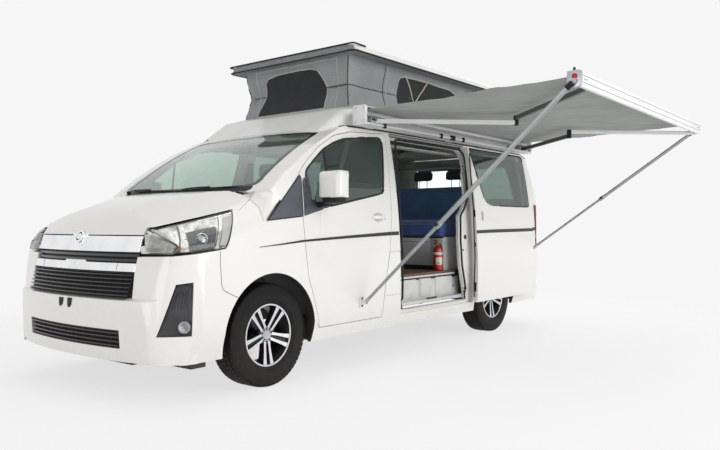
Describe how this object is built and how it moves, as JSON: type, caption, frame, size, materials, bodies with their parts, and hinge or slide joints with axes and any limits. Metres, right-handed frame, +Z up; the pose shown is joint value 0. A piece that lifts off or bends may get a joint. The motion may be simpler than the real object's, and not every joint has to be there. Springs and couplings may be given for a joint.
{
  "type": "conversion van",
  "caption": "Camper conversion of a family van: raised pop-top with fabric walls, folding-arm side awning on two legs, open sliding door, bench seat and step.",
  "frame": {"origin": "on the ground, under the middle of the whole object's box with the awning out", "axes": "+X towards the van's nose, +Y to its left, where the awning stands, +Z up"},
  "size_m": [5.265, 3.9562, 2.6244],
  "materials": {
    "body_paint": "gloss",
    "black_plastic": "satin",
    "bright_metal": "polished",
    "window_glass": "clear",
    "headlamp_lens": "clear",
    "tail_lens": "gloss",
    "moulded_white": "satin",
    "pop_top_fabric": "woven",
    "awning_fabric": "woven",
    "white_aluminium": "powder coated",
    "alloy_wheel": "machined",
    "tyre_rubber": "matte",
    "chassis_steel": "waxed",
    "cast_iron": "rough",
    "cabin_plastic": "matte",
    "step_plastic": "satin",
    "seat_fabric": "woven",
    "floor_vinyl": "satin",
    "extinguisher_red": "gloss"
  },
  "bodies": {
    "van": {"awning_case": "white_aluminium", "awning_cloth": "awning_fabric", "bench_seat": "seat_fabric", "body_side_left": "body_paint", "body_side_right": "body_paint", "bright_bars": "bright_metal", "cowl_panel": "body_paint", "dashboard": "cabin_plastic", "engine_and_radiator": "cast_iron", "fire_extinguisher": "extinguisher_red", "floor_pan": "floor_vinyl", "front_bumper": "body_paint", "front_lamps": "headlamp_lens", "front_seats": "seat_fabric", "front_subframe": "chassis_steel", "front_wings": "body_paint", "grilles": "black_plastic", "pop_top_canvas": "pop_top_fabric", "pop_top_ring": "moulded_white", "rear_axle": "chassis_steel", "rear_bumper": "body_paint", "roof_panel": "body_paint", "side_glass": "window_glass", "side_step": "step_plastic", "sliding_door": "body_paint", "tail_lamps": "tail_lens", "underbody": "chassis_steel", "wheel_arch_liners": "cabin_plastic", "windscreen": "window_glass"},
    "bonnet": {"bonnet": "body_paint"},
    "door_left": {"front_door_left": "body_paint", "front_door_glass_left": "window_glass", "mirror_left": "body_paint"},
    "door_right": {"front_door_right": "body_paint", "front_door_glass_right": "window_glass", "mirror_right": "body_paint"},
    "tailgate": {"tailgate": "body_paint", "tailgate_glass": "window_glass"},
    "fuel_flap": {"fuel_flap": "body_paint"},
    "lid": {"pop_top_lid": "moulded_white"},
    "arm_front_inner": {"awning_inner_arm_front": "white_aluminium"},
    "arm_front_outer": {"awning_outer_arm_front": "white_aluminium"},
    "rail": {"awning_rail": "white_aluminium"},
    "arm_rear_inner": {"awning_inner_arm_rear": "white_aluminium"},
    "arm_rear_outer": {"awning_outer_arm_rear": "white_aluminium"},
    "leg_front_foot": {"awning_leg_foot_front": "white_aluminium"},
    "leg_front_tube": {"awning_leg_tube_front": "white_aluminium"},
    "leg_rear_foot": {"awning_leg_foot_rear": "white_aluminium"},
    "leg_rear_tube": {"awning_leg_tube_rear": "white_aluminium"},
    "knuckle_left": {"front_knuckle_left": "chassis_steel"},
    "knuckle_right": {"front_knuckle_right": "chassis_steel"},
    "steering_wheel": {"steering_wheel": "black_plastic"},
    "wheel_front_left": {"tyre_front_left": "tyre_rubber", "rim_front_left": "alloy_wheel"},
    "wheel_front_right": {"tyre_front_right": "tyre_rubber", "rim_front_right": "alloy_wheel"},
    "wheel_rear_left": {"tyre_rear_left": "tyre_rubber", "rim_rear_left": "alloy_wheel"},
    "wheel_rear_right": {"tyre_rear_right": "tyre_rubber", "rim_rear_right": "alloy_wheel"}
  },
  "joints": [
    {"name": "bonnet_hinge", "type": "hinge", "parent": "van", "child": "bonnet", "pos_m": [1.7385, -0.76045, 1.33], "axis": [0, -1, 0], "range_deg": [0, 50]},
    {"name": "door_left_hinge", "type": "hinge", "parent": "van", "child": "door_left", "pos_m": [1.3375, 0.21755, 0.9], "axis": [0, 0, -1], "range_deg": [0, 70]},
    {"name": "door_right_hinge", "type": "hinge", "parent": "van", "child": "door_right", "pos_m": [1.3375, -1.73845, 0.9], "axis": [0, 0, 1], "range_deg": [0, 70]},
    {"name": "fuel_flap_hinge", "type": "hinge", "parent": "van", "child": "fuel_flap", "pos_m": [0.1815, 0.21455, 0.7], "axis": [0, 0, 1], "range_deg": [0, 80]},
    {"name": "tailgate_hinge", "type": "hinge", "parent": "van", "child": "tailgate", "pos_m": [-2.4105, -0.76045, 1.9], "axis": [0, 1, 0], "range_deg": [0, 85]},
    {"name": "pop_top_lift", "type": "slide", "parent": "van", "child": "lid", "axis": [0, 0, 1], "range_m": [-0.445, 0], "deforming": ["pop_top_canvas"]},
    {"name": "awning_fold", "type": "hinge", "parent": "van", "child": "arm_front_inner", "pos_m": [0.5725, 0.18955, 1.937], "axis": [0, 0, 1], "range_deg": [0, 43.5], "deforming": ["awning_cloth"]},
    {"name": "awning_front_elbow", "type": "hinge", "parent": "arm_front_inner", "child": "arm_front_outer", "pos_m": [-0.25353, 1.06, 1.976], "axis": [0, 0, 1], "range_deg": [-87, 0]},
    {"name": "awning_rail_swivel", "type": "hinge", "parent": "arm_front_outer", "child": "rail", "pos_m": [0.5725, 1.93045, 1.976], "axis": [0, 0, 1], "range_deg": [0, 43.5]},
    {"name": "awning_rear_shoulder", "type": "hinge", "parent": "van", "child": "arm_rear_inner", "pos_m": [-2.1875, 0.18955, 1.937], "axis": [0, 0, 1], "range_deg": [-43.5, 0]},
    {"name": "awning_rear_elbow", "type": "hinge", "parent": "arm_rear_inner", "child": "arm_rear_outer", "pos_m": [-1.36147, 1.06, 1.976], "axis": [0, 0, 1], "range_deg": [0, 87]},
    {"name": "awning_leg_front_swing", "type": "hinge", "parent": "door_left", "child": "leg_front_foot", "pos_m": [0.7165, 0.25155, 0.5], "axis": [1, 0, 0], "range_deg": [0, 45.55]},
    {"name": "awning_leg_front_slide", "type": "slide", "parent": "leg_front_foot", "child": "leg_front_tube", "axis": [0, 0.7424, 0.6699], "range_m": [-0.7456, 0]},
    {"name": "awning_leg_rear_swing", "type": "hinge", "parent": "van", "child": "leg_rear_foot", "pos_m": [-2.3315, 0.25155, 0.845], "axis": [1, 0, 0], "range_deg": [0, 52.04]},
    {"name": "awning_leg_rear_slide", "type": "slide", "parent": "leg_rear_foot", "child": "leg_rear_tube", "axis": [0, 0.8204, 0.5717], "range_m": [-0.8751, 0]},
    {"name": "steer_left", "type": "hinge", "parent": "van", "child": "knuckle_left", "pos_m": [1.6725, -0.06045, 0.354], "axis": [0, 0, 1], "range_deg": [-35, 35]},
    {"name": "steer_right", "type": "hinge", "parent": "van", "child": "knuckle_right", "pos_m": [1.6725, -1.46045, 0.354], "axis": [0, 0, 1], "range_deg": [-35, 35]},
    {"name": "steering_wheel_turn", "type": "hinge", "parent": "van", "child": "steering_wheel", "pos_m": [1.0525, -1.16045, 1.235], "axis": [0.848, 0, -0.5299], "range_deg": [-525, 525]},
    {"name": "wheel_front_left_spin", "type": "hinge", "parent": "knuckle_left", "child": "wheel_front_left", "pos_m": [1.6725, 0.07705, 0.354], "axis": [0, 1, 0], "continuous": true},
    {"name": "wheel_front_right_spin", "type": "hinge", "parent": "knuckle_right", "child": "wheel_front_right", "pos_m": [1.6725, -1.59795, 0.354], "axis": [0, 1, 0], "continuous": true},
    {"name": "wheel_rear_left_spin", "type": "hinge", "parent": "van", "child": "wheel_rear_left", "pos_m": [-1.5375, 0.07705, 0.354], "axis": [0, 1, 0], "continuous": true},
    {"name": "wheel_rear_right_spin", "type": "hinge", "parent": "van", "child": "wheel_rear_right", "pos_m": [-1.5375, -1.59795, 0.354], "axis": [0, 1, 0], "continuous": true}
  ],
  "couplings": [
    {"joint": "awning_front_elbow", "follows": "awning_fold", "ratio": -2},
    {"joint": "awning_rail_swivel", "follows": "awning_fold", "ratio": 1},
    {"joint": "awning_rear_shoulder", "follows": "awning_fold", "ratio": -1},
    {"joint": "awning_rear_elbow", "follows": "awning_fold", "ratio": 2},
    {"joint": "awning_leg_front_swing", "follows": "awning_fold", "ratio": 1.0467},
    {"joint": "awning_leg_front_slide", "follows": "awning_fold", "m_per_rad": -0.98136},
    {"joint": "awning_leg_rear_swing", "follows": "awning_fold", "ratio": 1.1958},
    {"joint": "awning_leg_rear_slide", "follows": "awning_fold", "m_per_rad": -1.152},
    {"joint": "steer_right", "follows": "steer_left", "ratio": 1},
    {"joint": "steering_wheel_turn", "follows": "steer_left", "ratio": -15}
  ]
}
